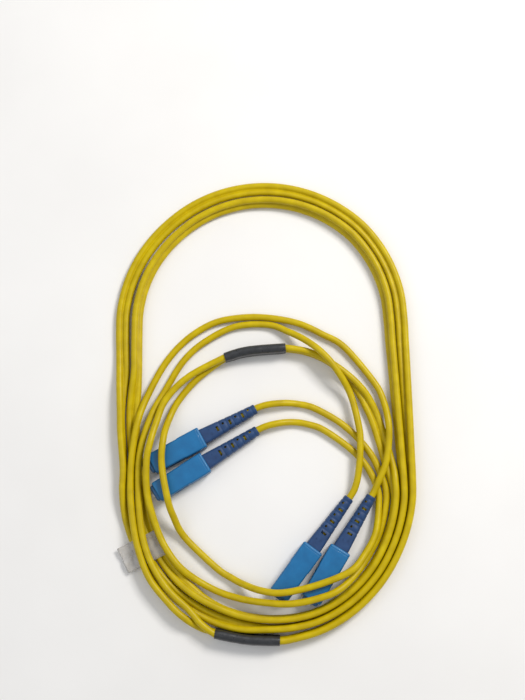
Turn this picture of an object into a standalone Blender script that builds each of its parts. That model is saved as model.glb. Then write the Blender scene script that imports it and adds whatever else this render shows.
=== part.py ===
"""A duplex fibre-optic patch cord with two SC plugs at each end, lying coiled.

Metres, +Z up, +Y along the coil's long side. The zipcord, two round strands joined side by side,
makes two turns. At each of its ends a heat-shrink sleeve splits it into two legs, one for each plug.
"""

from math import cos, pi, radians, sin

import bpy
import numpy as np
from mathutils import Matrix, Vector

MM = 0.001
# The middle of the whole object on the floor. The lengths and places below are in millimetres, and this point becomes the origin.
MIDDLE = Vector((-0.804, -0.277, 0.0))

# Cord
STRAND_R = 1.5
ZIP_HALF_PITCH = 1.55
LEG_SIDES = 8

# The coil: a belt round two circles, wound clockwise
TOP_CENTRE = np.array([-2.0, 37.0])
BOTTOM_CENTRE = np.array([1.5, -36.0])
# Each turn has six stages, at the right of the upper circle, the right, bottom and left of the lower one, and the left and top of the upper one.
COIL_STAGES = [1, 1.25, 1.5, 1.75, 2, 2.3, 2.6, 3, 3.2, 3.4, 3.7, 4, 4.5, 5, 5.5, 6, 7, 7.25, 7.5, 7.75, 8, 8.25, 8.6, 9, 9.2, 9.4, 9.7, 10, 10.5, 11, 11.5, 12, 13, 13.25, 13.5, 13.75, 13.94]
COIL_RADII = [54.9, 55.1, 56.1, 56.9, 56.1, 55.5, 54.9, 55.9, 58.3, 59.1, 56.5, 55.6, 55.2, 56.3, 57.6, 57.0, 58.6, 58.5, 59.5, 60.5, 60.0, 60.6, 61.5, 63.0, 63.5, 64.2, 62.6, 62.3, 61.7, 62.8, 63.6, 62.6, 62.3, 61.9, 62.9, 64.4, 65.0]
TILT_STAGES = [1, 2.3, 2.6, 3.45, 3.7, 6, 7, 8, 8.25, 8.85, 9.1, 9.5, 9.75, 11, 12, 13, 13.94]
TILT_DEGREES = [82, 82, 0, 0, 55, 60, 82, 82, 0, 0, 82, 82, 0, 0, 20, 82, 82]
FLOOR_Z = 1.7

# Heat-shrink sleeves
SLEEVE_WALL = 0.42
SLEEVE_BORE_R = 1.72
SLEEVE_STEP = 3.0
SLEEVE_POINTS = 4
SLEEVE_1 = [(-18.3, 21.2), (-8.0, 24.0), (8.7, 25.5)]
SLEEVE_2 = [(5.9, -100.9), (-8.0, -100.3), (-21.8, -97.9)]
SLEEVE_TILT = {"breakout_sleeve_1": 90, "breakout_sleeve_2": 82}

# The strap round the coil, about the lower circle's middle
TAPE_ANGLE = 206.5
TAPE_WIDTH = 11.6
TAPE_THICK = 0.12
TAPE_INNER_R, TAPE_OUTER_R, FLAG_R = 51.3, 65.5, 71.0

# Plugs: the middle of the grip's rear face, and the way that the plug points
PLUGS = {
    "a1": ((-27.8, -14.2), -151.5),
    "a2": ((-26.2, -25.1), -148.1),
    "b1": ((20.4, -61.9), -126.6),
    "b2": ((32.2, -62.5), -121.2),
}
AXIS_Z = 3.7
GRIP_SIZE = (25.0, 9.1, 7.4)
GRIP_HANDLE = (10.2, 9.5)
GRIP_BORE = (7.5, 6.1)
FRAME_SIZE = (7.0, 5.6)
FRAME_REAR, FRAME_FRONT = 4.2, 26.5
FERRULE_R = 1.25
FERRULE_TIP = 27.5
BOOT_FRONT, BOOT_TIP = 3.5, -26.4
# Rows of windows through the boot: a wide one in the middle of two faces, then small ones near the corners
SLOT_FIRST, SLOT_PITCH, SLOT_COUNT = -7.5, 3.12, 6
SLOT_LENGTH, SLOT_WIDTH = 1.0, 2.3
CORNER_SLOT = (0.8, 1.65)
CORD_END = -6.0

# The routes of the free legs and of the zipcord before its first turn, in millimetres
LEG_A1 = [(5.5, 0.9, 3.4), (14, 0.8, 1.8), (22.2, -1.4, 1.7), (34.9, -9.1, 1.7), (45.2, -20, 1.7), (50.3, -30.2, 1.7), (52.7, -40, 1.7), (49.9, -54.3, 1.7), (44.8, -64.8, 1.9), (39.2, -72.6, 3.8), (30.8, -79.8, 8.9), (21.7, -83.3, 9.3), (10.7, -85.4, 9.3), (0.1, -85, 8), (-10.5, -83.6, 3.6), (-20.5, -80.6, 1.9), (-29.5, -75.9, 2.4), (-37, -70.2, 4.9), (-42.6, -63, 5.3), (-46.9, -54.3, 5.4), (-51.2, -39.4, 7.6), (-51.7, -24.8, 9.3), (-50.2, -16.5, 9.2), (-48, -8, 6.8), (-44.1, 2.3, 5.4), (-34.3, 12.4, 5.3)]
LEG_A2 = [(5, -8.0, 3.3), (12, -7.3, 1.8), (18.5, -8.2, 1.7), (25.8, -10.9, 1.7), (37.6, -19.4, 1.7), (44.6, -27.4, 1.7), (48.8, -36.6, 1.7), (49.2, -43.2, 2.2), (47.4, -55.5, 4.6), (42.6, -64.4, 6.6), (36.0, -71.8, 9.2), (21.8, -77.6, 9.3), (7.3, -80.8, 9.3), (-2, -80, 7.8), (-9.8, -77.4, 3.4), (-15.2, -74.6, 1.9), (-21.5, -70.5, 1.7), (-35.3, -57.4, 2), (-40, -48.5, 6.5), (-42.4, -41.1, 9.3), (-45.1, -26.7, 9.3), (-44.7, -15.5, 9), (-42.6, -6, 3.6), (-38.4, 2.6, 2.0), (-29.9, 12.5, 2.0)]
LEG_B1 = [(-27.7, -93.9, 5.6), (-33.2, -87.8, 5.4), (-42.3, -79.2, 5.3), (-50, -67, 5.3), (-54.1, -52.9, 5.2), (-55.6, -34.1, 5.1), (-54.8, -19.8, 5.1), (-50.7, -5.1, 3.8), (-44.6, 6.9, 1.8), (-36.7, 20.1, 1.7), (-27.3, 28.8, 1.7), (-13.8, 35.7, 1.7), (0.9, 36.6, 1.7), (10, 33.2, 3), (18, 28.4, 6.8), (25.3, 22.3, 8.4), (31.5, 14.8, 7.7), (37.4, 4.5, 4.6), (40.8, -9.5, 4.9), (41.3, -17.6, 5.1), (40.5, -28.5, 4.7), (39.2, -35, 4.0)]
LEG_B2 = [(-28.6, -95.4, 3.0), (-35.2, -91.2, 5.1), (-41.5, -85.4, 5.3), (-50.2, -74.6, 5.3), (-55.6, -60.5, 5.3), (-58.2, -45.8, 5.3), (-59.0, -32, 5.2), (-58.3, -20, 5.2), (-56.4, -8, 5.1), (-53.0, 2.8, 3.0), (-45, 18.7, 1.7), (-35.4, 29.8, 1.7), (-23.7, 37.2, 1.7), (-11.6, 39.8, 1.7), (0.9, 39.8, 1.7), (14.3, 37.3, 1.7), (25.4, 32.2, 1.7), (35.1, 26.4, 1.7), (48.0, 10.7, 1.7), (52.0, 2.2, 2.6), (53.8, -8, 5.2), (53.7, -17, 5.3), (52.4, -25, 5.3), (50.3, -30.6, 5.3), (48.3, -34.9, 4.9)]
LEAD_IN = [(19.6, 23.6), (30.7, 17.7), (41, 7.6), (46.9, -2.6), (50.8, -14), (53.8, -25), (55.6, -33)]
LEAD_IN_TILT = [90, 90, 45, 5, 0, 10, 60]


def smooth(points, step):
    """A Catmull-Rom curve through the points, as points about one step apart as seen from above."""
    points = np.asarray(points, float)
    ends = np.vstack([2 * points[0] - points[1], points, 2 * points[-1] - points[-2]])
    out = []
    for a, b, c, d in zip(ends, ends[1:], ends[2:], ends[3:]):
        count = max(1, round(np.linalg.norm((c - b)[:2]) / step))
        for t in np.arange(count) / count:
            out.append(0.5 * (2 * b + (c - a) * t + (2 * a - 5 * b + 4 * c - d) * t**2 + (3 * b - 3 * c + d - a) * t**3))
    return np.array([*out, points[-1]])


def coil(stage):
    """The middle of the zipcord at this stage of its turns."""
    radius = np.interp(stage, COIL_STAGES, COIL_RADII)
    in_turn = stage % 6
    top, bottom = TOP_CENTRE, BOTTOM_CENTRE
    centre = {0: top, 1: bottom, 2: bottom, 3: bottom, 4: top, 5: top}[int(in_turn)]
    angle = np.interp(in_turn, [0, 1, 3, 4, 6], [0, 0, -pi, -pi, -2 * pi])
    if in_turn < 1:
        centre = top + (bottom - top) * in_turn
    elif 3 < in_turn < 4:
        centre = bottom + (top - bottom) * (in_turn - 3)
    return centre + radius * np.array([cos(angle), sin(angle)])


def frame_at(path):
    """For each point of a path in 3-D: the way along it, the level way across it, and the third way."""
    along = np.gradient(path, axis=0)
    along /= np.linalg.norm(along, axis=1)[:, None]
    across = np.cross([0, 0, 1], along)
    across /= np.linalg.norm(across, axis=1)[:, None]
    return along, across, np.cross(along, across)


def tilted(path, tilt):
    """The way across a zipcord on this path, tilted by these degrees, and the way square to it."""
    _, across, up = frame_at(path)
    c, s = np.cos(np.radians(tilt))[:, None], np.sin(np.radians(tilt))[:, None]
    return c * across + s * up, c * up - s * across


def with_height(flat, tilt):
    """A zipcord's path resting on the floor, which is higher where the zipcord stands on edge."""
    rise = ZIP_HALF_PITCH * np.abs(np.sin(np.radians(tilt)))
    return np.column_stack([flat, FLOOR_Z + rise])


def sleeve_path(name):
    ends = SLEEVE_1 if name.endswith("1") else SLEEVE_2
    flat = smooth(ends, SLEEVE_STEP)
    tilt = np.full(len(flat), float(SLEEVE_TILT[name]))
    return with_height(flat, tilt) + [0, 0, 0.5], tilt


def zip_path():
    """The zipcord from inside the first sleeve, round its two turns, to inside the second, and its tilt at each point."""
    first, _ = sleeve_path("breakout_sleeve_1")
    second, _ = sleeve_path("breakout_sleeve_2")
    inside_first, inside_second = first[-SLEEVE_POINTS:], second[:SLEEVE_POINTS]
    stages = np.arange(1.06, COIL_STAGES[-1], 0.12)
    turns = np.array([coil(stage) for stage in stages])
    free_tilt = np.concatenate([LEAD_IN_TILT, np.interp(stages, TILT_STAGES, TILT_DEGREES)])
    free = with_height(np.vstack([LEAD_IN, turns]), free_tilt)
    tilt = np.concatenate([
        np.full(SLEEVE_POINTS, float(SLEEVE_TILT["breakout_sleeve_1"])),
        free_tilt,
        np.full(SLEEVE_POINTS, float(SLEEVE_TILT["breakout_sleeve_2"])),
    ])
    path = smooth(np.column_stack([np.vstack([inside_first, free, inside_second]), tilt]), 9.0)
    return path[:, :3], path[:, 3]


def plug_frame_of(key):
    """The plug's matrix, in millimetres: +X is the way it points, and the origin is the middle of the grip's rear face."""
    (x, y), angle = PLUGS[key]
    return Matrix.Translation((x, y, AXIS_Z)) @ Matrix.Rotation(radians(angle), 4, "Z")


def leg_path(key):
    """A leg from inside its plug's boot to inside its sleeve."""
    place = plug_frame_of(key)
    in_boot = [tuple(place @ Vector((x, 0, 0))) for x in (CORD_END, -16, BOOT_TIP - 1.5)]
    name = "breakout_sleeve_1" if key.startswith("a") else "breakout_sleeve_2"
    sleeve, tilt = sleeve_path(name)
    side, _ = tilted(sleeve, tilt)
    if key.startswith("a"):
        sign = 1 if key == "a1" else -1
        strand = sleeve + sign * ZIP_HALF_PITCH * side
        in_sleeve = strand[:SLEEVE_POINTS]
        return smooth(np.vstack([in_boot, {"a1": LEG_A1, "a2": LEG_A2}[key], in_sleeve]), 5.5)
    sign = 1 if key == "b1" else -1
    strand = sleeve + sign * ZIP_HALF_PITCH * side
    in_sleeve = strand[-SLEEVE_POINTS:]
    return smooth(np.vstack([in_sleeve, {"b1": LEG_B1, "b2": LEG_B2}[key], in_boot[::-1]]), 5.5)


# ---- Solids


def finish(mesh_name, verts, faces, place=None):
    """A mesh object from vertices in millimetres, put where `place` says."""
    mesh = bpy.data.meshes.new(mesh_name)
    mesh.from_pydata([tuple(Vector(v) * MM) for v in verts], [], faces)
    mesh.update()
    return put(bpy.data.objects.new(mesh_name, mesh), place)


def put(obj, place):
    bpy.context.scene.collection.objects.link(obj)
    place = place or Matrix.Identity(4)
    obj.matrix_world = Matrix.Translation((place.translation - MIDDLE) * MM) @ place.to_3x3().to_4x4()
    return obj


def paint(obj, material, smooth_shading=True):
    obj.data.materials.append(material)
    for face in obj.data.polygons:
        face.use_smooth = smooth_shading
    return obj


def make_material(name, colour, roughness, metallic=0.0, alpha=1.0):
    material = bpy.data.materials.new(name)
    material.use_nodes = True
    shader = material.node_tree.nodes["Principled BSDF"]
    shader.inputs["Base Color"].default_value = (*colour, 1.0)
    shader.inputs["Roughness"].default_value = roughness
    shader.inputs["Metallic"].default_value = metallic
    shader.inputs["Alpha"].default_value = alpha
    return material


def swept(name, path, tilt, outline, bore=None, place=None):
    """A closed tube: the outline (across, up) carried along the path, with a hole where `bore` is given."""
    side, up = tilted(path, tilt)
    rings = [outline] if bore is None else [outline, bore]
    count, sides = len(path), len(outline)
    verts = [path[i] + a * side[i] + b * up[i] for ring in rings for i in range(count) for a, b in ring]
    faces = []
    for r in range(len(rings)):
        base = r * count * sides
        for i in range(count - 1):
            for k in range(sides):
                a, b = base + i * sides + k, base + i * sides + (k + 1) % sides
                quad = [a, a + sides, b + sides, b]
                faces.append(quad if r else quad[::-1])
    last = (count - 1) * sides
    if bore is None:
        faces += [list(range(sides))[::-1], [last + k for k in range(sides)]]
    else:
        inner = count * sides
        for k in range(sides):
            n = (k + 1) % sides
            faces.append([n, k, inner + k, inner + n])
            faces.append([last + k, last + n, inner + last + n, inner + last + k])
    return finish(name, verts, faces, place)


def circle(radius, sides, turn=0.0):
    return [(radius * cos(turn + 2 * pi * k / sides), radius * sin(turn + 2 * pi * k / sides)) for k in range(sides)]


def figure_eight(radius, half_pitch, arc_sides=6):
    """Two round strands side by side, joined by a narrow waist."""
    half = [(half_pitch + radius * cos(a), radius * sin(a)) for a in np.linspace(-0.78 * pi, 0.78 * pi, arc_sides)]
    return half + [(-x, -y) for x, y in half]


def oval(radius, half_pitch, arc_sides=7):
    half = [(half_pitch + radius * cos(a), radius * sin(a)) for a in np.linspace(-pi / 2, pi / 2, arc_sides)]
    return half + [(-x, -y) for x, y in half]


def turned(name, profile, place, sides=20):
    """A closed ring or solid of revolution about the plug's axis, from a closed (along, radius) profile."""
    count = len(profile)
    verts = [(x, r * cos(2 * pi * k / sides), r * sin(2 * pi * k / sides)) for k in range(sides) for x, r in profile]
    faces = []
    for k in range(sides):
        n = (k + 1) % sides
        for i in range(count):
            j = (i + 1) % count
            faces.append([k * count + j, n * count + j, n * count + i, k * count + i])
    return finish(name, verts, faces, place)


def rod(name, start, end, radius, place, sides=12, bevel=0.0):
    """A solid round bar along the plug's axis, with the front edge bevelled."""
    stations = [(start, radius), (end - bevel, radius)] + ([(end, radius - bevel)] if bevel else [])
    verts = [(x, *p) for x, r in stations for p in circle(r, sides)]
    faces = [list(range(sides))[::-1], [(len(stations) - 1) * sides + k for k in range(sides)]]
    for i in range(len(stations) - 1):
        for k in range(sides):
            a, b = i * sides + k, i * sides + (k + 1) % sides
            faces.append([a, b, b + sides, a + sides])
    return finish(name, verts, faces, place)


def rounded_rectangle(width, height, corner, per_corner=3):
    out = []
    for cx, cy, start in ((1, 1, 0), (-1, 1, 90), (-1, -1, 180), (1, -1, 270)):
        for k in range(per_corner):
            a = radians(start + 90 * k / (per_corner - 1))
            out.append((cx * (width / 2 - corner) + corner * cos(a), cy * (height / 2 - corner) + corner * sin(a)))
    return out


def lofted(name, outer, inner, place):
    """A hollow body from matching lists of (along, outline), the outside ones and the bore's."""
    sides = len(outer[0][1])
    verts = [(x, *p) for x, outline in outer + inner for p in outline]
    faces = []
    for first, count, flip in ((0, len(outer), False), (len(outer), len(inner), True)):
        for i in range(first, first + count - 1):
            for k in range(sides):
                a, b = i * sides + k, i * sides + (k + 1) % sides
                quad = [a, b, b + sides, a + sides]
                faces.append(quad[::-1] if flip else quad)
    bore = len(outer) * sides
    last_out, last_in = (len(outer) - 1) * sides, bore + (len(inner) - 1) * sides
    for k in range(sides):
        n = (k + 1) % sides
        faces.append([n, k, bore + k, bore + n])
        faces.append([last_out + k, last_out + n, last_in + n, last_in + k])
    return finish(name, verts, faces, place)


def box(name, low, high, place):
    (x0, y0, z0), (x1, y1, z1) = low, high
    verts = [(x, y, z) for x in (x0, x1) for y in (y0, y1) for z in (z0, z1)]
    faces = [(0, 1, 3, 2), (4, 6, 7, 5), (0, 4, 5, 1), (2, 3, 7, 6), (0, 2, 6, 4), (1, 5, 7, 3)]
    return finish(name, verts, faces, place)


def cut(obj, cutters):
    """Cuts the helpers from the object, and keeps them out of the render."""
    for cutter in cutters:
        modifier = obj.modifiers.new(cutter.name, "BOOLEAN")
        modifier.operation = "DIFFERENCE"
        modifier.solver = "EXACT"
        modifier.object = cutter
        cutter.hide_render = True
        cutter.display_type = "WIRE"


# ---- Plug


def make_grip(key, place):
    length, width, height = GRIP_SIZE
    bore_w, bore_h = GRIP_BORE
    handle, wide = GRIP_HANDLE
    stations = [(0, wide - 1.0, height - 1.0), (0.5, wide, height), (handle, wide, height), (handle + 0.4, width, height), (length - 0.5, width, height), (length, width - 1.0, height - 1.0)]
    outer = [(x, rounded_rectangle(w, h, 0.8)) for x, w, h in stations]
    inner = [(x, rounded_rectangle(bore_w, bore_h, 0.4)) for x in (0, length)]
    grip = lofted(f"grip_{key}", outer, inner, place)
    windows = [
        box(f"cutter_window_{key}_{side}", (12.0, side * 4.1 - 1.2, -1.4), (18.5, side * 4.1 + 1.2, 1.4), place)
        for side in (-1, 1)
    ]
    cut(grip, windows)
    return grip


def make_plug_frame(key, place):
    width, height = FRAME_SIZE
    outer = [(FRAME_REAR, rounded_rectangle(width, height, 0.5)), (FRAME_FRONT - 0.5, rounded_rectangle(width, height, 0.5)), (FRAME_FRONT, rounded_rectangle(width - 0.8, height - 0.8, 0.5))]
    bore = [(FRAME_REAR, 2.3), (21.0, 2.3), (21.0, 1.6), (FRAME_FRONT, 1.6)]
    inner = [(x, circle(r, 12, turn=pi / 12)) for x, r in bore]
    return lofted(f"plug_frame_{key}", outer, inner, place)


def make_boot(key, place):
    """The strain relief: a square root that tapers to a round tip, with rows of windows down to the cord."""
    stations = [(BOOT_FRONT, 7.0, 5.6, 0.9), (-1.0, 7.0, 5.6, 1.0), (-7.0, 6.4, 5.4, 1.5), (-14.0, 5.7, 5.1, 2.2), (-21.0, 5.0, 4.8, 2.35), (BOOT_TIP + 0.4, 4.5, 4.5, 2.25), (BOOT_TIP, 4.1, 4.1, 2.05)]
    outer = [(x, rounded_rectangle(w, h, c, 4)) for x, w, h, c in reversed(stations)]
    bore = [(BOOT_TIP, 1.72), (-4.2, 1.72), (-4.2, 2.5), (BOOT_FRONT, 2.5)]
    inner = [(x, circle(r, 16, turn=pi / 16)) for x, r in bore]
    boot = lofted(f"boot_{key}", outer, inner, place)
    windows = []
    for index in range(SLOT_COUNT):
        x = SLOT_FIRST - index * SLOT_PITCH
        spans = [(-SLOT_WIDTH / 2, SLOT_WIDTH / 2)] if index % 2 == 0 else [CORNER_SLOT, (-CORNER_SLOT[1], -CORNER_SLOT[0])]
        for low_y, high_y in spans:
            for low_z, high_z in ((0.3, 4.0), (-4.0, -0.3)):
                name = f"cutter_window_{key}_{len(windows)}"
                windows.append(box(name, (x - SLOT_LENGTH / 2, low_y, low_z), (x + SLOT_LENGTH / 2, high_y, high_z), place))
    cut(boot, windows)
    return boot


def make_spring(key, place):
    turns, start, end, mean_r, wire_r = 6, 9.5, 18.0, 1.6, 0.24
    count = turns * 8
    curve = bpy.data.curves.new(f"spring_{key}", "CURVE")
    curve.dimensions = "3D"
    curve.bevel_depth = wire_r * MM
    curve.bevel_resolution = 1
    curve.use_fill_caps = True
    spline = curve.splines.new("POLY")
    spline.points.add(count)
    for i, point in enumerate(spline.points):
        turn = 2 * pi * turns * i / count
        x = start + (end - start) * i / count
        point.co = (x * MM, mean_r * cos(turn) * MM, mean_r * sin(turn) * MM, 1)
    return put(bpy.data.objects.new(curve.name, curve), place)


def make_plug(key, paints):
    """One SC plug: the grip slides on the frame, and the ferrule is pushed forwards by a spring."""
    place = plug_frame_of(key)
    paint(make_grip(key, place), paints["grip"], False)
    paint(make_plug_frame(key, place), paints["frame"], False)
    paint(make_boot(key, place), paints["boot"], False)
    paint(rod(f"ferrule_{key}", 18.9, FERRULE_TIP, FERRULE_R, place, 20, 0.25), paints["ferrule"])
    flange = [(11.5, 1.1), (11.5, 0.6), (18.6, 0.6), (18.6, 1.29), (20.7, 1.29), (20.7, 2.0), (18.3, 2.0), (18.3, 1.1)]
    paint(turned(f"ferrule_flange_{key}", flange, place), paints["metal"])
    spring = make_spring(key, place)
    spring.data.materials.append(paints["metal"])
    stop = [(-3.6, 1.6), (-3.6, 0.7), (9.1, 0.7), (9.1, 2.05), (4.0, 2.05), (4.0, 2.45), (3.75, 2.45), (3.75, 1.6)]
    paint(turned(f"rear_body_{key}", stop, place), paints["metal"])
    ring = [(-3.8, 2.25), (-3.8, 1.8), (3.2, 1.8), (3.2, 2.25)]
    paint(turned(f"crimp_ring_{key}", ring, place), paints["metal"])
    paint(rod(f"fibre_buffer_{key}", -4.4, 18.4, 0.45, place, 8), paints["buffer"])


# ---- Cord


def make_legs(paints):
    for key in PLUGS:
        path = leg_path(key)
        leg = swept(f"leg_{key}", path, np.zeros(len(path)), circle(STRAND_R, LEG_SIDES))
        paint(leg, paints["jacket"])


def make_zipcord(paints):
    path, tilt = zip_path()
    paint(swept("zipcord", path, tilt, figure_eight(STRAND_R, ZIP_HALF_PITCH)), paints["jacket"])


def make_sleeves(paints):
    for name in SLEEVE_TILT:
        path, tilt = sleeve_path(name)
        outside = oval(SLEEVE_BORE_R + SLEEVE_WALL, ZIP_HALF_PITCH)
        paint(swept(name, path, tilt, outside, oval(SLEEVE_BORE_R, ZIP_HALF_PITCH)), paints["sleeve"])


def make_tape(paints):
    """A clear strap wrapped round both turns, with its two ends meeting as a flag."""
    line = [
        (FLAG_R, 2.06), (TAPE_OUTER_R, 2.06), (TAPE_OUTER_R, 0.08), (TAPE_INNER_R, 0.08),
        (TAPE_INNER_R, 3.4), (TAPE_OUTER_R + 0.2, 3.4), (TAPE_OUTER_R + 0.2, 2.3), (FLAG_R, 2.3),
    ]
    line = np.array(line)
    way = np.vstack([line[1] - line[0], line[2:] - line[:-2], line[-1] - line[-2]])
    square = np.column_stack([-way[:, 1], way[:, 0]])
    # A corner of the strip turns by a right angle, so its offset goes out and along by the same amount.
    square[1:-1] = np.sign(np.round(square[1:-1], 2))
    square[[0, -1]] /= np.linalg.norm(square[[0, -1]], axis=1)[:, None]
    offset = square * TAPE_THICK / 2
    section = np.vstack([line - offset, (line + offset)[::-1]])
    count = len(section)
    verts = [(r, y, z) for y in (-TAPE_WIDTH / 2, TAPE_WIDTH / 2) for r, z in section]
    faces = [[k + count, (k + 1) % count + count, (k + 1) % count, k] for k in range(count)]
    for k in range(count // 2 - 1):
        far = count - 1 - k
        faces.append([k + 1, far - 1, far, k])
        faces.append([count + far, count + far - 1, count + k + 1, count + k])
    turn = Matrix.Rotation(radians(TAPE_ANGLE), 4, "Z")
    place = Matrix.Translation((*BOTTOM_CENTRE, 0)) @ turn
    paint(finish("bundle_tape", verts, faces, place), paints["tape"], False)


def main():
    for obj in list(bpy.data.objects):
        bpy.data.objects.remove(obj)
    paints = {
        "jacket": make_material("yellow_jacket", (0.62, 0.42, 0.008), 0.38),
        "grip": make_material("blue_housing", (0.018, 0.16, 0.44), 0.32),
        "frame": make_material("blue_frame", (0.018, 0.15, 0.40), 0.35),
        "boot": make_material("navy_boot", (0.02, 0.05, 0.20), 0.45),
        "ferrule": make_material("white_ceramic", (0.85, 0.85, 0.82), 0.15),
        "metal": make_material("plated_metal", (0.60, 0.60, 0.58), 0.30, 1.0),
        "buffer": make_material("white_buffer", (0.80, 0.80, 0.78), 0.40),
        "sleeve": make_material("black_heat_shrink", (0.025, 0.028, 0.035), 0.30),
        "tape": make_material("clear_tape", (0.60, 0.58, 0.55), 0.25, 0.0, 0.45),
    }
    make_zipcord(paints)
    make_legs(paints)
    make_sleeves(paints)
    make_tape(paints)
    for key in PLUGS:
        make_plug(key, paints)


main()
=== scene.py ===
"""The looks of a coiled duplex fibre-optic patch cord with four SC plugs, round its CAD frame.

Blender is in metres, with +Z up and +Y along the coil's long side. The numbers below are in
millimetres and degrees unless they say otherwise, and the routes are those of the CAD.
"""

from math import cos, pi, radians, sin

import bmesh
import bpy
import numpy as np
from mathutils import Matrix, Vector, noise


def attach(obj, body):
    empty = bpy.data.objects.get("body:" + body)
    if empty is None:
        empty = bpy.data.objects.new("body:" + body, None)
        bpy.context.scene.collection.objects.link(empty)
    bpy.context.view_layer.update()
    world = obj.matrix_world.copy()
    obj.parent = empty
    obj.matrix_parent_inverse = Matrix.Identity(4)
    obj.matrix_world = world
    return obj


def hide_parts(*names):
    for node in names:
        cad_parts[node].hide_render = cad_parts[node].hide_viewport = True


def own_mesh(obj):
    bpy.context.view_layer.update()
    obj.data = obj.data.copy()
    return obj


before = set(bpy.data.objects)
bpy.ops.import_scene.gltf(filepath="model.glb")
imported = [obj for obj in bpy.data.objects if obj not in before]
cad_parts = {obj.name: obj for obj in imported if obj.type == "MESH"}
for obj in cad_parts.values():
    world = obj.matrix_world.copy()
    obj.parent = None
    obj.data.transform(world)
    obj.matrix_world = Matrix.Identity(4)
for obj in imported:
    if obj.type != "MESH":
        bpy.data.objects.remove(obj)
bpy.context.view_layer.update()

MM = 0.001
# The row frame's origin, in the millimetres used below
MIDDLE = Vector((-0.804, -0.277, 0.0))

# Camera: where it stands in metres, how far it looks down from level, and its lens
CAMERA_PLACE = (-0.0007, -0.0639, 0.5082)
CAMERA_ELEVATION = 80.0
CAMERA_LENS = 59.2

# Cord
STRAND_R = 1.5
ZIP_HALF_PITCH = 1.55
ZIP_STEP = 1.5
LEG_STEP = 1.2
ZIP_ARC_POINTS = 15
LEG_BEVEL_POINTS = 6

# The coil: a belt round two circles, wound clockwise, six stages to a turn. From stage 0 it runs
# down the right side, from 1 round the bottom, from 3 up the left side, and from 4 round the top.
TURN_STAGES = 6
FIRST_STAGE, STAGE_STEP = 1.06, 0.12
TOP_CENTRE = np.array([-2.0, 37.0])
BOTTOM_CENTRE = np.array([1.5, -36.0])
COIL_STAGES = [
    1, 1.25, 1.5, 1.75, 2, 2.3, 2.6, 3, 3.2, 3.4, 3.7, 4, 4.5, 5, 5.5, 6, 7, 7.25, 7.5, 7.75, 8,
    8.25, 8.6, 9, 9.2, 9.4, 9.7, 10, 10.5, 11, 11.5, 12, 13, 13.25, 13.5, 13.75, 13.94,
]
COIL_RADII = [
    54.9, 55.1, 56.1, 56.9, 56.1, 55.5, 54.9, 55.9, 58.3, 59.1, 56.5, 55.6, 55.2, 56.3, 57.6,
    57.0, 58.6, 58.5, 59.5, 60.5, 60.0, 60.6, 61.5, 63.0, 63.5, 64.2, 62.6, 62.3, 61.7, 62.8,
    63.6, 62.6, 62.3, 61.9, 62.9, 64.4, 65.0,
]
TILT_STAGES = [
    1, 2.3, 2.6, 3.45, 3.7, 6, 7, 8, 8.25, 8.85, 9.1, 9.5, 9.75, 11, 12, 13, 13.94,
]
TILT_DEGREES = [82, 82, 0, 0, 55, 60, 82, 82, 0, 0, 82, 82, 0, 0, 20, 82, 82]
# The height of a zipcord's middle where it lies flat on the floor
FLOOR_Z = 1.7

# Heat-shrink sleeves
SLEEVE_WALL = 0.42
SLEEVE_BORE_R = 1.72
SLEEVE_STEP = 3.0
SLEEVE_POINTS = 4
SLEEVE_FINE_STEP = 0.8
SLEEVE_LIFT = 0.5
SLEEVE_ARC_POINTS, SLEEVE_BRIDGE_POINTS = 13, 9
SLEEVE_ROUTES = {
    "breakout_sleeve_1": [(-18.3, 21.2), (-8.0, 24.0), (8.7, 25.5)],
    "breakout_sleeve_2": [(5.9, -100.9), (-8.0, -100.3), (-21.8, -97.9)],
}
SLEEVE_TILT = {"breakout_sleeve_1": 90, "breakout_sleeve_2": 82}
# How far a sleeve draws in at its ends, and over what length
SLEEVE_DRAW_IN, SLEEVE_DRAW_REACH = 0.16, 3.0
SLEEVE_RIPPLE = 0.05
# The share of its thickness that a sleeve sinks in by between the strands, and how that varies
SLEEVE_WAIST, SLEEVE_WAIST_SWAY = 0.17, 0.10
SLEEVE_SQUEEZE = 0.12
# A place in the ripple's noise for each sleeve
SLEEVE_SEED = {"breakout_sleeve_1": 2.0, "breakout_sleeve_2": 7.0}

# The strap round the coil. Its line is (distance from the middle of the bottom circle, height).
TAPE_ANGLE = 206.5
TAPE_WIDTH = 11.6
TAPE_THICK = 0.1
TAPE_STEP = 0.6
TAPE_POINTS_ACROSS = 15
FLAG_R, FLAG_FROM_R = 71.0, 66.5
TAPE_LINE = [
    (FLAG_R, 2.1), (66.6, 2.0), (65.3, 0.9), (63.6, 0.15), (58.2, 0.1), (53.0, 0.15), (51.5, 0.9),
    (51.4, 2.4), (52.6, 3.4), (55.4, 3.46), (58.4, 3.36), (61.6, 3.46), (64.6, 3.36), (66.2, 2.5),
    (FLAG_R - 0.3, 2.34),
]
# How far the flag waves and its end is cut unevenly, and the crinkle of the whole strip
FLAG_WAVE, FLAG_TRIM, TAPE_CRINKLE = 0.9, 0.5, 0.05

# Plugs: the middle of the grip's rear face, and the way that the plug points
PLUGS = {
    "a1": ((-27.8, -14.2), -151.5),
    "a2": ((-26.2, -25.1), -148.1),
    "b1": ((20.4, -61.9), -126.6),
    "b2": ((32.2, -62.5), -121.2),
}
AXIS_Z = 3.7
GRIP_SIZE = (25.0, 9.1, 7.4)
# The wider rear of the grip: its length and width
GRIP_HANDLE = (10.2, 9.5)
GRIP_SHOULDER = 0.4
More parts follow.
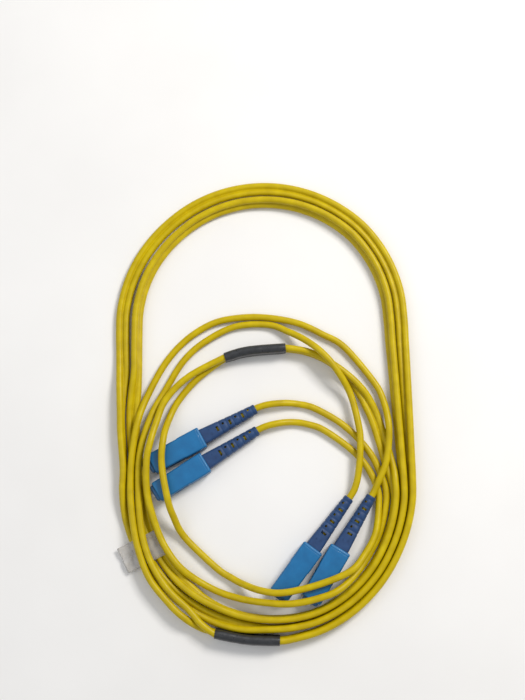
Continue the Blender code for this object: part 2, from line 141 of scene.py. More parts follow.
# (along, how much smaller than full size) of the grip's chamfers and rim
GRIP_REAR = [
    (0.0, 0.9), (0.3, 0.24), (0.55, 0.0), (1.20, 0.0), (1.27, 0.13), (1.50, 0.13), (1.57, 0.0),
]
GRIP_FRONT = [(24.2, 0.0), (24.75, 0.22), (25.0, 0.8)]
GRIP_CORNER, GRIP_BORE_CORNER = 0.8, 0.4
# A latch window: its ends along the grip, and its middle, half depth and half height
LATCH_FROM, LATCH_TO = 12.0, 18.5
LATCH_SIDE, LATCH_HALF_DEPTH, LATCH_HALF_HEIGHT = 4.1, 1.2, 1.4
GRIP_BORE = (7.5, 6.1)
BOOT_FRONT, BOOT_TIP = 3.5, -26.4
BOOT_BORE = [(BOOT_TIP, 1.62), (-4.2, 1.62), (-4.2, 2.5), (BOOT_FRONT, 2.5)]
SLOT_FIRST, SLOT_PITCH, SLOT_COUNT = -7.5, 3.12, 6
SLOT_LENGTH, SLOT_WIDTH = 1.0, 2.3
CORNER_SLOT = (0.55, 1.45)
# How far above and below the axis a window reaches
SLOT_REACH = (0.3, 4.0)
# (from the groove's middle, depth) of the ring groove between two rows
GROOVE = ((-0.45, 0.0), (-0.22, 0.24), (0.22, 0.24), (0.45, 0.0))
# The dimples on each wide face of a boot's root: their ends along it and across it, and their reach
DIMPLES = [((-4.0, -3.3), (-1.6, -0.8)), ((-4.6, -3.9), (0.5, 1.3))]
DIMPLE_REACH = (2.62, 3.2)
# (along, width, height, corner) of a boot
BOOT_SIZES = [
    (-26.4, 4.1, 4.1, 2.05), (-26.0, 4.5, 4.5, 2.25), (-21.0, 5.0, 4.8, 2.35),
    (-14.0, 5.7, 5.1, 2.2), (-7.0, 6.4, 5.4, 1.5), (-1.0, 7.0, 5.6, 1.0), (3.5, 7.0, 5.6, 0.9),
]
CORD_END = -6.0
# Where a leg is on the plug's axis, from the boot's tip inwards
IN_BOOT = (BOOT_TIP - 1.5, -16.0, CORD_END)
SPRING_TURNS, SPRING_FROM, SPRING_TO = 6, 9.5, 18.0
SPRING_R, SPRING_WIRE_R = 1.6, 0.24
SPRING_TURN_POINTS, SPRING_SIDES = 16, 8

# How wide the hard edges are rounded, in how many steps, and how sharp an edge has to be
SLEEVE_EDGE, GRIP_EDGE, BOOT_EDGE, FRAME_EDGE = 0.1, 0.09, 0.08, 0.12
EDGE_STEPS, EDGE_ANGLE = 2, 35.0
CORNER_POINTS = 6

# Lights in metres and watts: place, size, power and colour
LIGHTS = {
    "key": ((0.42, 0.40, 0.62), 0.26, 5.8, (1.0, 0.98, 0.95)),
    "fill": ((-0.50, -0.10, 0.60), 0.70, 1.4, (0.93, 0.96, 1.0)),
}
SKY_COLOUR, SKY_STRENGTH = (0.95, 0.97, 1.0, 1.0), 0.48
# Half the floor's width, in metres
FLOOR_HALF = 3.0

# The routes of the free legs and of the zipcord before its first turn
LEG_ROUTES = {
    "a1": [
        (5.5, 0.9, 3.4), (14, 0.8, 1.8), (22.2, -1.4, 1.7), (34.9, -9.1, 1.7), (45.2, -20, 1.7),
        (50.3, -30.2, 1.7), (52.7, -40, 1.7), (49.9, -54.3, 1.7), (44.8, -64.8, 1.9),
        (39.2, -72.6, 3.8), (30.8, -79.8, 8.9), (21.7, -83.3, 9.3), (10.7, -85.4, 9.3),
        (0.1, -85, 8), (-10.5, -83.6, 3.6), (-20.5, -80.6, 1.9), (-29.5, -75.9, 2.4),
        (-37, -70.2, 4.9), (-42.6, -63, 5.3), (-46.9, -54.3, 5.4), (-51.2, -39.4, 7.6),
        (-51.7, -24.8, 9.3), (-50.2, -16.5, 9.2), (-48, -8, 6.8), (-44.1, 2.3, 5.4),
        (-34.3, 12.4, 5.3),
    ],
    "a2": [
        (5, -8.0, 3.3), (12, -7.3, 1.8), (18.5, -8.2, 1.7), (25.8, -10.9, 1.7),
        (37.6, -19.4, 1.7), (44.6, -27.4, 1.7), (48.8, -36.6, 1.7), (49.2, -43.2, 2.2),
        (47.4, -55.5, 4.6), (42.6, -64.4, 6.6), (36.0, -71.8, 9.2), (21.8, -77.6, 9.3),
        (7.3, -80.8, 9.3), (-2, -80, 7.8), (-9.8, -77.4, 3.4), (-15.2, -74.6, 1.9),
        (-21.5, -70.5, 1.7), (-35.3, -57.4, 2), (-40, -48.5, 6.5), (-42.4, -41.1, 9.3),
        (-45.1, -26.7, 9.3), (-44.7, -15.5, 9), (-42.6, -6, 3.6), (-38.4, 2.6, 2.0),
        (-29.9, 12.5, 2.0),
    ],
    "b1": [
        (-27.7, -93.9, 5.6), (-33.2, -87.8, 5.4), (-42.3, -79.2, 5.3), (-50, -67, 5.3),
        (-54.1, -52.9, 5.2), (-55.6, -34.1, 5.1), (-54.8, -19.8, 5.1), (-50.7, -5.1, 3.8),
        (-44.6, 6.9, 1.8), (-36.7, 20.1, 1.7), (-27.3, 28.8, 1.7), (-13.8, 35.7, 1.7),
        (0.9, 36.6, 1.7), (10, 33.2, 3), (18, 28.4, 6.8), (25.3, 22.3, 8.4), (31.5, 14.8, 7.7),
        (37.4, 4.5, 4.6), (40.8, -9.5, 4.9), (41.3, -17.6, 5.1), (40.5, -28.5, 4.7),
        (39.2, -35, 4.0),
    ],
    "b2": [
        (-28.6, -95.4, 3.0), (-35.2, -91.2, 5.1), (-41.5, -85.4, 5.3), (-50.2, -74.6, 5.3),
        (-55.6, -60.5, 5.3), (-58.2, -45.8, 5.3), (-59.0, -32, 5.2), (-58.3, -20, 5.2),
        (-56.4, -8, 5.1), (-53.0, 2.8, 3.0), (-45, 18.7, 1.7), (-35.4, 29.8, 1.7),
        (-23.7, 37.2, 1.7), (-11.6, 39.8, 1.7), (0.9, 39.8, 1.7), (14.3, 37.3, 1.7),
        (25.4, 32.2, 1.7), (35.1, 26.4, 1.7), (48.0, 10.7, 1.7), (52.0, 2.2, 2.6),
        (53.8, -8, 5.2), (53.7, -17, 5.3), (52.4, -25, 5.3), (50.3, -30.6, 5.3),
        (48.3, -34.9, 4.9),
    ],
}
LEAD_IN = [
    (19.6, 23.6), (30.7, 17.7), (41, 7.6), (46.9, -2.6), (50.8, -14), (53.8, -25), (55.6, -33),
]
LEAD_IN_TILT = [90, 90, 45, 5, 0, 10, 60]


# ---- Routes, as in the CAD but with points closer together


def smooth(points, step):
    """A Catmull-Rom curve through the points, as points about one step apart as seen from above."""
    points = np.asarray(points, float)
    ends = np.vstack([2 * points[0] - points[1], points, 2 * points[-1] - points[-2]])
    out = []
    for a, b, c, d in zip(ends, ends[1:], ends[2:], ends[3:]):
        count = max(1, round(np.linalg.norm((c - b)[:2]) / step))
        for t in np.arange(count) / count:
            square, cube = (2 * a - 5 * b + 4 * c - d) * t**2, (3 * b - 3 * c + d - a) * t**3
            out.append(0.5 * (2 * b + (c - a) * t + square + cube))
    return np.array([*out, points[-1]])


def coil(stage):
    """The middle of the zipcord at this stage of its turns."""
    radius = np.interp(stage, COIL_STAGES, COIL_RADII)
    in_turn = stage % TURN_STAGES
    top, bottom = TOP_CENTRE, BOTTOM_CENTRE
    centre = {0: top, 1: bottom, 2: bottom, 3: bottom, 4: top, 5: top}[int(in_turn)]
    angle = np.interp(in_turn, [0, 1, 3, 4, 6], [0, 0, -pi, -pi, -2 * pi])
    if in_turn < 1:
        centre = top + (bottom - top) * in_turn
    elif 3 < in_turn < 4:
        centre = bottom + (top - bottom) * (in_turn - 3)
    return centre + radius * np.array([cos(angle), sin(angle)])


def tilted(path, tilt):
    """The way across a zipcord on this path, tilted by these degrees, and the way square to it."""
    along = np.gradient(path, axis=0)
    along /= np.linalg.norm(along, axis=1)[:, None]
    across = np.cross([0, 0, 1], along)
    across /= np.linalg.norm(across, axis=1)[:, None]
    up = np.cross(along, across)
    c, s = np.cos(np.radians(tilt))[:, None], np.sin(np.radians(tilt))[:, None]
    return c * across + s * up, c * up - s * across


def with_height(flat, tilt):
    """A zipcord's path resting on the floor, which is higher where the zipcord stands on edge."""
    rise = ZIP_HALF_PITCH * np.abs(np.sin(np.radians(tilt)))
    return np.column_stack([flat, FLOOR_Z + rise])


def sleeve_path(name, step=SLEEVE_STEP):
    """The middle of a sleeve, from end to end, and its tilt at each point."""
    flat = smooth(SLEEVE_ROUTES[name], step)
    tilt = np.full(len(flat), float(SLEEVE_TILT[name]))
    return with_height(flat, tilt) + [0, 0, SLEEVE_LIFT], tilt


def zip_path():
    """The zipcord from inside the first sleeve, round its two turns, to inside the second.

    Also gives its tilt at each point.
    """
    first, _ = sleeve_path("breakout_sleeve_1")
    second, _ = sleeve_path("breakout_sleeve_2")
    inside_first, inside_second = first[-SLEEVE_POINTS:], second[:SLEEVE_POINTS]
    stages = np.arange(FIRST_STAGE, COIL_STAGES[-1], STAGE_STEP)
    turns = np.array([coil(stage) for stage in stages])
    free_tilt = np.concatenate([LEAD_IN_TILT, np.interp(stages, TILT_STAGES, TILT_DEGREES)])
    free = with_height(np.vstack([LEAD_IN, turns]), free_tilt)
    tilt = np.concatenate([
        np.full(SLEEVE_POINTS, float(SLEEVE_TILT["breakout_sleeve_1"])),
        free_tilt,
        np.full(SLEEVE_POINTS, float(SLEEVE_TILT["breakout_sleeve_2"])),
    ])
    whole = np.vstack([inside_first, free, inside_second])
    path = smooth(np.column_stack([whole, tilt]), ZIP_STEP)
    return path[:, :3], path[:, 3]


def plug_frame_of(key):
    """The plug's matrix, in millimetres.

    +X is the way it points, and the origin is the middle of the grip's rear face.
    """
    (x, y), angle = PLUGS[key]
    return Matrix.Translation((x, y, AXIS_Z)) @ Matrix.Rotation(radians(angle), 4, "Z")


def leg_path(key):
    """A leg from inside its sleeve to inside its plug's boot."""
    place = plug_frame_of(key)
    in_boot = [tuple(place @ Vector((x, 0, 0))) for x in IN_BOOT]
    sleeve, tilt = sleeve_path(sleeve_of(key))
    side, _ = tilted(sleeve, tilt)
    strand = sleeve + (1 if key.endswith("1") else -1) * ZIP_HALF_PITCH * side
    if key.startswith("a"):
        points = np.vstack([in_boot[::-1], LEG_ROUTES[key], strand[:SLEEVE_POINTS]])
        return smooth(points, LEG_STEP)[::-1]
    return smooth(np.vstack([strand[-SLEEVE_POINTS:], LEG_ROUTES[key], in_boot]), LEG_STEP)


def sleeve_of(key):
    """The name of the sleeve that this leg comes out of."""
    return "breakout_sleeve_1" if key.startswith("a") else "breakout_sleeve_2"


def in_metres(path):
    """The path's points in the row frame."""
    return [tuple((Vector(p) - MIDDLE) * MM) for p in path]


# ---- Materials


class Look:
    """A procedural material in the making, with short ways to add its nodes."""

    def __init__(self, name, **sockets):
        self.material = bpy.data.materials.new(name)
        self.material.use_nodes = True
        self.tree = self.material.node_tree
        self.shader = self.tree.nodes["Principled BSDF"]
        self.place = self.add("ShaderNodeTexCoord").outputs["Object"]
        for socket, value in sockets.items():
            self.shader.inputs[socket.replace("_", " ")].default_value = value

    def add(self, kind, **inputs):
        node = self.tree.nodes.new(kind)
        for socket, value in inputs.items():
            node.inputs[socket.replace("_", " ")].default_value = value
        return node

    def link(self, source, target):
        self.tree.links.new(source, target)

    def noise(self, scale, detail=3.0):
        """Noise with this many features in a metre."""
        node = self.add("ShaderNodeTexNoise", Scale=scale, Detail=detail)
        self.link(self.place, node.inputs["Vector"])
        return node.outputs["Fac"]

    def ramp(self, factor, stops):
        node = self.add("ShaderNodeValToRGB")
        ramp = node.color_ramp
        for index, (position, colour) in enumerate(stops):
            element = ramp.elements[index] if index < 2 else ramp.elements.new(position)
            element.position = position
            element.color = (*colour, 1.0)
        self.link(factor, node.inputs["Fac"])
        return node.outputs["Color"]

    def colour(self, scale, stops):
        """The colour wanders between the stops, which are (position, linear colour)."""
        self.link(self.ramp(self.noise(scale), stops), self.shader.inputs["Base Color"])
        return self

    def spread(self, socket, scale, low, high):
        """The socket wanders between the two values."""
        node = self.add("ShaderNodeMapRange", From_Min=0.3, From_Max=0.7, To_Min=low, To_Max=high)
        self.link(self.noise(scale), node.inputs["Value"])
        self.link(node.outputs["Result"], self.shader.inputs[socket])
        return self

    def bumps(self, *layers):
        """Bumps from layers of (features in a metre, height in metres)."""
        normal = None
        for scale, height in layers:
            node = self.add("ShaderNodeBump", Strength=1.0, Distance=height)
            self.link(self.noise(scale, 4.0), node.inputs["Height"])
            if normal:
                self.link(normal, node.inputs["Normal"])
            normal = node.outputs["Normal"]
        self.link(normal, self.shader.inputs["Normal"])
        return self


def make_looks():
    """The material of each of the record's slots."""
    jacket = Look(
        "yellow_pvc_jacket", Specular_IOR_Level=0.22, Coat_Weight=0.03, Coat_Roughness=0.28
    )
    jacket.colour(190.0, [
        (0.30, (0.455, 0.330, 0.0003)),
        (0.55, (0.515, 0.380, 0.0004)),
        (0.75, (0.575, 0.435, 0.0008)),
    ])
    jacket.spread("Roughness", 900.0, 0.34, 0.48).bumps((420.0, 0.00010), (3600.0, 0.00002))

    grip = Look("blue_housing_plastic", Specular_IOR_Level=0.45, Coat_Weight=0.05)
    grip.colour(240.0, [
        (0.30, (0.002, 0.115, 0.295)),
        (0.60, (0.003, 0.135, 0.335)),
        (0.80, (0.006, 0.155, 0.375)),
    ])
    grip.spread("Roughness", 1200.0, 0.36, 0.50).bumps((6500.0, 0.000012), (900.0, 0.00002))

    nose = Look("blue_frame_plastic", Specular_IOR_Level=0.40)
    nose.colour(400.0, [(0.30, (0.022, 0.090, 0.220)), (0.70, (0.032, 0.115, 0.265))])
    nose.spread("Roughness", 1500.0, 0.38, 0.52).bumps((5200.0, 0.000015))

    boot = Look(
        "navy_boot_elastomer", Specular_IOR_Level=0.38, Sheen_Weight=0.10, Sheen_Roughness=0.5
    )
    boot.colour(350.0, [
        (0.30, (0.008, 0.036, 0.115)),
        (0.55, (0.011, 0.046, 0.140)),
        (0.80, (0.017, 0.060, 0.165)),
    ])
    boot.spread("Roughness", 1400.0, 0.46, 0.62).bumps((4200.0, 0.00003))

    sleeve = Look(
        "black_heat_shrink", Specular_IOR_Level=0.55, Coat_Weight=0.25, Coat_Roughness=0.22
    )
    sleeve.colour(500.0, [(0.30, (0.014, 0.015, 0.018)), (0.70, (0.026, 0.028, 0.032))])
    sleeve.spread("Roughness", 800.0, 0.26, 0.42).bumps((380.0, 0.00016), (2600.0, 0.00003))

    tape = Look(
        "clear_tape_film", Specular_IOR_Level=0.6, Coat_Weight=0.5, Coat_Roughness=0.12
    )
    tape.colour(160.0, [(0.30, (0.46, 0.43, 0.39)), (0.70, (0.66, 0.63, 0.59))])
    tape.spread("Roughness", 500.0, 0.16, 0.40).spread("Alpha", 220.0, 0.34, 0.62)
    tape.bumps((330.0, 0.00025))

    ceramic = Look("white_zirconia", Specular_IOR_Level=0.7, Coat_Weight=0.3, Coat_Roughness=0.05)
    ceramic.colour(900.0, [(0.30, (0.80, 0.80, 0.77)), (0.70, (0.88, 0.88, 0.86))])
    ceramic.spread("Roughness", 2500.0, 0.10, 0.20).bumps((9000.0, 0.000002))

    metal = Look("nickel_plated_brass", Metallic=1.0)
    metal.colour(1100.0, [(0.30, (0.50, 0.49, 0.46)), (0.70, (0.66, 0.65, 0.62))])
    metal.spread("Roughness", 2600.0, 0.20, 0.38).bumps((5200.0, 0.000008))

    buffer = Look("white_buffer_pvc", Specular_IOR_Level=0.4)
    buffer.colour(1500.0, [(0.30, (0.74, 0.73, 0.69)), (0.70, (0.82, 0.81, 0.78))])
    buffer.spread("Roughness", 2600.0, 0.36, 0.50).bumps((7000.0, 0.000006))

    looks = {
        "jacket": jacket, "grip": grip, "frame": nose, "boot": boot, "sleeve": sleeve,
        "tape": tape, "ferrule": ceramic, "metal": metal, "buffer": buffer,
    }
    return {slot: look.material for slot, look in looks.items()}


# ---- Mesh helpers


def dressed(obj, look, slot, body, *nodes):
    """Gives a piece its look and body, and hides the CAD nodes that it stands for. Its slot is not
    used.
    """
    obj.data.materials.clear()
    obj.data.materials.append(look)
    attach(obj, body)
    if nodes:
        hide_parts(*nodes)
    return obj


def mesh_piece(name, verts, faces, place=None):
    """A smooth-shaded mesh object, in the row frame, from vertices in millimetres."""
    place = place or Matrix.Identity(4)
    mesh = bpy.data.meshes.new(name)
    mesh.from_pydata([tuple((place @ Vector(v) - MIDDLE) * MM) for v in verts], [], faces)
    for face in mesh.polygons:
        face.use_smooth = True
    obj = bpy.data.objects.new(name, mesh)
    bpy.context.scene.collection.objects.link(obj)
    return obj


def skin(outer, inner=None):
    """Vertices and faces of a closed body through matching rings of points.

    Where `inner` is given, its rings are the body's bore.
    """
    sides = len(outer[0])
    rings = list(outer) + (list(inner) if inner is not None else [])
    verts = [p for ring in rings for p in ring]
    faces = []
    runs = ((0, len(outer), False), (len(outer), len(rings) - len(outer), True))
    for first, count, flip in runs:
        for i in range(first, first + count - 1):
            for k in range(sides):
                a, b = i * sides + k, i * sides + (k + 1) % sides
                quad = [a, b, b + sides, a + sides]
                faces.append(quad[::-1] if flip else quad)
    last = (len(outer) - 1) * sides
    if inner is None:
        return verts, faces + [list(range(sides))[::-1], [last + k for k in range(sides)]]
    bore, last_in = len(outer) * sides, (len(rings) - 1) * sides
    for k in range(sides):
        n = (k + 1) % sides
        faces += [[n, k, bore + k, bore + n], [last + k, last + n, last_in + n, last_in + k]]
    return verts, faces


def outward(obj):
    """Turns every face outwards."""
    shape = bmesh.new()
    shape.from_mesh(obj.data)
    bmesh.ops.recalc_face_normals(shape, faces=shape.faces)
    shape.to_mesh(obj.data)
    shape.free()
    return obj


def rings_along(path, tilt, outlines):
    """The outline (across, up) of each point of the path, carried to its place."""
    side, up = tilted(path, tilt)
    return [[path[i] + a * side[i] + b * up[i] for a, b in outlines[i]] for i in range(len(path))]


def rounded_rectangle(width, height, corner):
    """The outline of a rectangle with rounded corners, about the origin."""
    reach_x, reach_y = width / 2 - corner, height / 2 - corner
    out = []
    for cx, cy, start in ((1, 1, 0), (-1, 1, 90), (-1, -1, 180), (1, -1, 270)):
        for k in range(CORNER_POINTS):
            a = radians(start + 90 * k / (CORNER_POINTS - 1))
            out.append((cx * reach_x + corner * cos(a), cy * reach_y + corner * sin(a)))
    return out


def circle(radius, sides, turn=0.0):
    """The outline of a circle about the origin, from the angle `turn` in radians."""
    angles = [turn + 2 * pi * k / sides for k in range(sides)]
    return [(radius * cos(a), radius * sin(a)) for a in angles]


def box_of(low, high):
    """Vertices and outward faces of a box."""
    (x0, y0, z0), (x1, y1, z1) = low, high
    verts = [(x, y, z) for x in (x0, x1) for y in (y0, y1) for z in (z0, z1)]
    ends = [(0, 1, 3, 2), (4, 6, 7, 5)]
    return verts, ends + [(0, 4, 5, 1), (2, 3, 7, 6), (0, 2, 6, 4), (1, 5, 7, 3)]


def carve(obj, boxes, place):
    """Cuts the boxes out of the piece for good."""
    verts, faces = [], []
    for low, high in boxes:
        corners, sides = box_of(low, high)
        faces += [[k + len(verts) for k in side] for side in sides]
        verts += corners
    cutter = mesh_piece("cutter", verts, faces, place)
    modifier = obj.modifiers.new("cut", "BOOLEAN")
    modifier.operation, modifier.solver, modifier.object = "DIFFERENCE", "EXACT", cutter
    graph = bpy.context.evaluated_depsgraph_get()
    cut_mesh = bpy.data.meshes.new_from_object(obj.evaluated_get(graph))
    obj.modifiers.clear()
    obj.data = cut_mesh
    bpy.data.objects.remove(cutter)
    return obj


def soften(obj, width):
    """Rounds the piece's hard edges, and keeps its flat faces flat."""
    bevel = obj.modifiers.new("soften", "BEVEL")
    bevel.width, bevel.segments = width * MM, EDGE_STEPS
    bevel.limit_method, bevel.angle_limit = "ANGLE", radians(EDGE_ANGLE)
    bevel.harden_normals = True
    return obj


# ---- Cord


def zip_outline():
    """Two round strands side by side, joined where they touch."""
    angles = np.linspace(-0.9 * pi, 0.9 * pi, ZIP_ARC_POINTS)
    half = [(ZIP_HALF_PITCH + STRAND_R * cos(a), STRAND_R * sin(a)) for a in angles]
    return half + [(-x, -y) for x, y in half]


def make_zipcord(looks):
    path, tilt = zip_path()
    outline = zip_outline()
    rings = rings_along(path, tilt, [outline] * len(path))
    obj = outward(mesh_piece("zipcord_jacket", *skin(rings)))
    dressed(obj, looks["jacket"], "jacket", "cord", "zipcord")


def make_leg(key, looks, pieces):
    """One leg's jacket. `pieces`, those of its plug, are not used."""
    path = leg_path(key)
    points = in_metres(path)
    curve = bpy.data.curves.new(f"leg_{key}_jacket", "CURVE")
    curve.dimensions = "3D"
    curve.bevel_depth = STRAND_R * MM
    curve.bevel_resolution = LEG_BEVEL_POINTS
    curve.use_fill_caps = True
    spline = curve.splines.new("POLY")
    spline.points.add(len(points) - 1)
    for point, place in zip(spline.points, points):
        point.co = (*place, 1.0)
    spline.use_smooth = True
    obj = bpy.data.objects.new(curve.name, curve)
    bpy.context.scene.collection.objects.link(obj)
    dressed(obj, looks["jacket"], "jacket", "cord", f"leg_{key}")


# ---- Heat-shrink sleeves


def sleeve_outline(radius, waist):
    """A tube shrunk over two strands: an oval that sinks in by `waist` between the strands."""
    angles = np.linspace(-pi / 2, pi / 2, SLEEVE_ARC_POINTS)
    half = [(ZIP_HALF_PITCH + radius * cos(a), radius * sin(a)) for a in angles]
    across = np.linspace(ZIP_HALF_PITCH, -ZIP_HALF_PITCH, SLEEVE_BRIDGE_POINTS)
    bridge = [(x, radius) for x in across[1:-1]]
    ring = half + bridge + [(-x, -y) for x, y in half] + [(-x, -y) for x, y in bridge]
    sunk = [max(0.0, 1 - (x / ZIP_HALF_PITCH) ** 2) for x, _ in ring]
    return [(x, y * (1 - waist * share)) for (x, y), share in zip(ring, sunk)]


def make_sleeve(name, looks):
    path, tilt = sleeve_path(name, SLEEVE_FINE_STEP)
    count = len(path)
    outer, inner = [], []
    for i in range(count):
        t = i / (count - 1)
        from_end = min(t, 1 - t) * count * SLEEVE_FINE_STEP
        drawn_in = SLEEVE_DRAW_IN * (1 - min(1.0, from_end / SLEEVE_DRAW_REACH))
        ripple = SLEEVE_RIPPLE * noise.noise(Vector((i * 0.33, SLEEVE_SEED[name], 0.0)))
        radius = SLEEVE_BORE_R + SLEEVE_WALL - drawn_in + ripple
        sway = noise.noise(Vector((i * 0.15, 11.0, 3.0)))
        outer.append(sleeve_outline(radius, SLEEVE_WAIST + SLEEVE_WAIST_SWAY * sway))
        inner.append(sleeve_outline(SLEEVE_BORE_R - SLEEVE_SQUEEZE, 0.0))
    body = skin(rings_along(path, tilt, outer), rings_along(path, tilt, inner))
    obj = outward(mesh_piece(name + "_shrink", *body))
    soften(obj, SLEEVE_EDGE)
    return dressed(obj, looks["sleeve"], "sleeve", "cord", name)


# ---- Tape


def make_tape(looks):
    """The strip round the bundle, from one end of its flag to the other."""
    line = smooth(TAPE_LINE, TAPE_STEP)
    across = np.linspace(-TAPE_WIDTH / 2, TAPE_WIDTH / 2, TAPE_POINTS_ACROSS)
    verts = []
    for i, (r, z) in enumerate(line):
        out = max(0.0, r - FLAG_FROM_R) / (FLAG_R - FLAG_FROM_R)
        for y in across:
            wave = noise.noise(Vector((r * 0.35, y * 0.22, 1.5)))
            crinkle = noise.noise(Vector((i * 0.4, y * 0.5, 9.0)))
            trim = out * FLAG_TRIM * noise.noise(Vector((3.0, y * 0.35, 4.0)))
            verts.append((r + trim, y, z + out * FLAG_WAVE * wave + TAPE_CRINKLE * crinkle))
    wide = len(across)
    faces = [
        [i * wide + k, i * wide + k + 1, (i + 1) * wide + k + 1, (i + 1) * wide + k]
        for i in range(len(line) - 1) for k in range(wide - 1)
    ]
    turn = Matrix.Rotation(radians(TAPE_ANGLE), 4, "Z")
    place = Matrix.Translation((*BOTTOM_CENTRE, 0)) @ turn
    obj = mesh_piece("bundle_tape_film", verts, faces, place)
    thick = obj.modifiers.new("film", "SOLIDIFY")
    thick.thickness, thick.offset = TAPE_THICK * MM, 0.0
    return dressed(obj, looks["tape"], "tape", "cord", "bundle_tape")


# ---- Plug


def make_grip(key, looks, place):
    """The sliding housing: a chamfered rear rim, a waist, and a latch window in each side."""
    length, width, height = GRIP_SIZE
    bore_w, bore_h = GRIP_BORE
    handle, wide = GRIP_HANDLE
    rear = [*GRIP_REAR, (handle, 0.0)]
    front = [(handle + GRIP_SHOULDER, 0.0), *GRIP_FRONT]
    stations = [(x, wide - shrink, height - shrink) for x, shrink in rear]
    stations += [(x, width - shrink, height - shrink) for x, shrink in front]
    outer = [[(x, *p) for p in rounded_rectangle(w, h, GRIP_CORNER)] for x, w, h in stations]
    bore = rounded_rectangle(bore_w, bore_h, GRIP_BORE_CORNER)
    inner = [[(x, *p) for p in bore] for x in (0, length)]
    obj = outward(mesh_piece(f"grip_{key}_housing", *skin(outer, inner), place))
    cuts = []
    for side in (-1, 1):
        middle = side * LATCH_SIDE
        cuts.append((
            (LATCH_FROM, middle - LATCH_HALF_DEPTH, -LATCH_HALF_HEIGHT),
            (LATCH_TO, middle + LATCH_HALF_DEPTH, LATCH_HALF_HEIGHT),
        ))
    carve(obj, cuts, place)
    soften(obj, GRIP_EDGE)
    return dressed(obj, looks["grip"], "grip", f"housing_{key}", f"grip_{key}")


def boot_stations():
    """(along, width, height, corner) of the boot from tip to root.

    It has a shallow ring groove between its rows of windows.
    """
    plain = np.array(BOOT_SIZES)
    places = [(x, 0.0) for x in plain[:, 0]]
    for row in range(SLOT_COUNT):
        middle = SLOT_FIRST - (row + 0.5) * SLOT_PITCH
        places += [(middle + step, depth) for step, depth in GROOVE]
    out = []
    for x, depth in sorted(places):
        if x < BOOT_TIP:
            continue
        w, h, c = (np.interp(x, plain[:, 0], plain[:, i]) for i in (1, 2, 3))
        out.append((x, w - depth, h - depth, min(c, (min(w, h) - depth) / 2 - 0.01)))
    return out


def boot_windows():
    """The boxes cut from a boot: its windows, and two dimples on each wide face of its root."""
    near, far = CORNER_SLOT
    wide = (-SLOT_WIDTH / 2, SLOT_WIDTH / 2)
    cuts = []
    for row in range(SLOT_COUNT):
        x = SLOT_FIRST - row * SLOT_PITCH
        above, below = ((-far, -near), (near, far)) if row % 2 else (wide, wide)
        for (low_y, high_y), (low_z, high_z) in ((above, SLOT_REACH), (below, under(SLOT_REACH))):
            ends = (x - SLOT_LENGTH / 2, x + SLOT_LENGTH / 2)
            cuts.append(((ends[0], low_y, low_z), (ends[1], high_y, high_z)))
    for low_z, high_z in (DIMPLE_REACH, under(DIMPLE_REACH)):
        for (low_x, high_x), (low_y, high_y) in DIMPLES:
            cuts.append(((low_x, low_y, low_z), (high_x, high_y, high_z)))
    return cuts


def under(reach):
    """The same reach on the other side of the axis."""
    low, high = reach
    return -high, -low


def make_boot(key, looks, place):
    """The strain relief: it tapers from a square root to a round tip, with rows of windows."""
    outer = [[(x, *p) for p in rounded_rectangle(w, h, c)] for x, w, h, c in boot_stations()]
    sides = len(outer[0])
    inner = [[(x, *p) for p in circle(r, sides, pi / sides)] for x, r in BOOT_BORE]
    obj = outward(mesh_piece(f"boot_{key}_relief", *skin(outer, inner), place))
    carve(obj, boot_windows(), place)
    soften(obj, BOOT_EDGE)
    return dressed(obj, looks["boot"], "boot", "cord", f"boot_{key}")


def make_spring(key, looks, place):
    """The ferrule's coil spring, with its turns evenly spaced."""
    count = SPRING_TURNS * SPRING_TURN_POINTS
    wire = circle(SPRING_WIRE_R, SPRING_SIDES)
    rings = []
    for i in range(count + 1):
        turn = 2 * pi * SPRING_TURNS * i / count
        x = SPRING_FROM + (SPRING_TO - SPRING_FROM) * i / count
        out = [SPRING_R + a for a, _ in wire]
        rings.append([(x + b, r * cos(turn), r * sin(turn)) for r, (_, b) in zip(out, wire)])
    obj = outward(mesh_piece(f"spring_{key}_coil", *skin(rings), place))
    dressed(obj, looks["metal"], "metal", "cord", f"spring_{key}")
    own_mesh(obj)
    return obj


def keep_node(name, look, rounding=0.0):
    """A CAD node whose shape is right: a better material, and softer edges where asked for."""
    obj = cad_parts[name]
    obj.data.materials.clear()
    obj.data.materials.append(look)
    if rounding:
        soften(obj, rounding)
    return obj


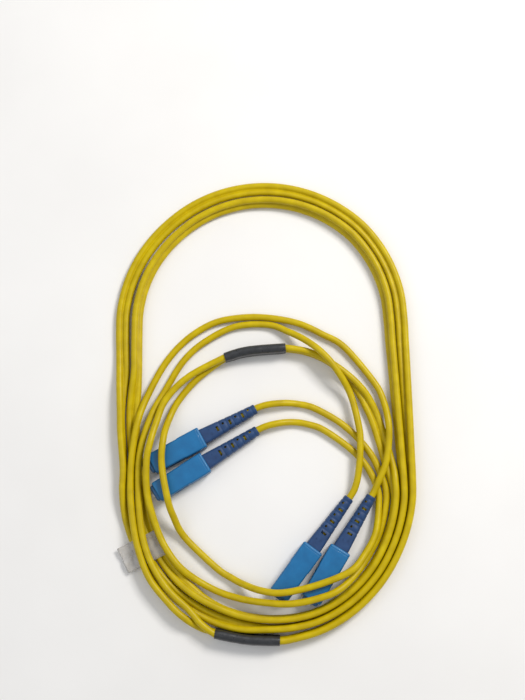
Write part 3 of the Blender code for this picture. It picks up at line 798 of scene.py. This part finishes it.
def make_plug(key, looks):
    """One SC plug. Returns its pieces, from the boot to the ferrule."""
    place = plug_frame_of(key)
    pieces = [make_boot(key, looks, place), make_grip(key, looks, place)]
    pieces.append(keep_node(f"plug_frame_{key}", looks["frame"], FRAME_EDGE))
    pieces.append(keep_node(f"ferrule_{key}", looks["ferrule"]))
    pieces.append(make_spring(key, looks, place))
    for name in ("ferrule_flange", "rear_body", "crimp_ring"):
        pieces.append(keep_node(f"{name}_{key}", looks["metal"]))
    pieces.append(keep_node(f"fibre_buffer_{key}", looks["buffer"]))
    return pieces


# ---- Stage


def make_floor():
    floor_look = Look("pale_paper_floor", Specular_IOR_Level=0.25)
    floor_look.colour(14.0, [(0.30, (0.80, 0.785, 0.765)), (0.70, (0.84, 0.825, 0.805))])
    floor_look.spread("Roughness", 60.0, 0.62, 0.78).bumps((1500.0, 0.00001))
    mesh = bpy.data.meshes.new("floor")
    corners = [(x * FLOOR_HALF, y * FLOOR_HALF, 0) for x, y in ((-1, -1), (1, -1), (1, 1), (-1, 1))]
    mesh.from_pydata(corners, [], [(0, 1, 2, 3)])
    floor = bpy.data.objects.new("floor", mesh)
    bpy.context.scene.collection.objects.link(floor)
    floor.data.materials.append(floor_look.material)


def make_light(name, place, size, energy, colour):
    """A square area light that looks at the object."""
    data = bpy.data.lights.new(name, "AREA")
    data.size, data.energy, data.color = size, energy, colour
    lamp = bpy.data.objects.new(name, data)
    lamp.location = place
    lamp.rotation_euler = (-Vector(place)).to_track_quat("-Z", "Y").to_euler()
    bpy.context.scene.collection.objects.link(lamp)


def make_lights():
    for name, settings in LIGHTS.items():
        make_light(name, *settings)
    world = bpy.data.worlds.new("studio")
    world.use_nodes = True
    sky = world.node_tree.nodes["Background"]
    sky.inputs["Color"].default_value = SKY_COLOUR
    sky.inputs["Strength"].default_value = SKY_STRENGTH
    bpy.context.scene.world = world
    bpy.context.scene.view_settings.view_transform = "Standard"


def make_camera():
    data = bpy.data.cameras.new("camera")
    data.lens = CAMERA_LENS
    camera = bpy.data.objects.new("camera", data)
    camera.location = CAMERA_PLACE
    camera.rotation_euler = (radians(90.0 - CAMERA_ELEVATION), 0.0, 0.0)
    bpy.context.scene.collection.objects.link(camera)
    bpy.context.scene.camera = camera


def main():
    make_camera()
    looks = make_looks()
    sleeves = [make_sleeve(name, looks) for name in SLEEVE_TILT]
    make_zipcord(looks)
    for key in PLUGS:
        make_leg(key, looks, make_plug(key, looks))
    make_tape(looks)
    make_floor()
    make_lights()


main()
